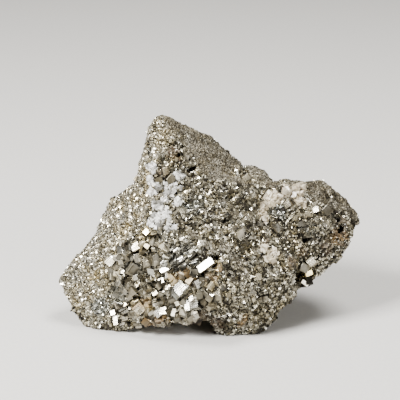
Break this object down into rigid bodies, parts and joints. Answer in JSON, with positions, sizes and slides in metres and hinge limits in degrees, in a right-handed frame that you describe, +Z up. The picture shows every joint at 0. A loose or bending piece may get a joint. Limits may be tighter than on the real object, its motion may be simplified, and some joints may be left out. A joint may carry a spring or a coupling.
{
  "type": "pyrite specimen",
  "caption": "Natural pyrite specimen: a granular, brassy grey lump with a pointed peak and a blunt overhanging end, free-standing on worn flats, with cubic crystals in its hollows.",
  "frame": {"origin": "middle of the footprint box, in the plane that the three worn flats stand on", "axes": "+Z up, +X along the length from the peak's side to the blunt end, the broad rough face with the crystal pocket towards -Y"},
  "size_m": [0.0908, 0.0484, 0.0609],
  "materials": {
    "massive_pyrite": null,
    "pyrite_crystal": null,
    "quartz": "white to cream granular quartz, waxy and slightly see-through"
  },
  "bodies": {
    "root": {"massive_pyrite": "massive_pyrite", "pocket_crystals": "pyrite_crystal", "edge_crystals": "pyrite_crystal"}
  },
  "joints": []
}
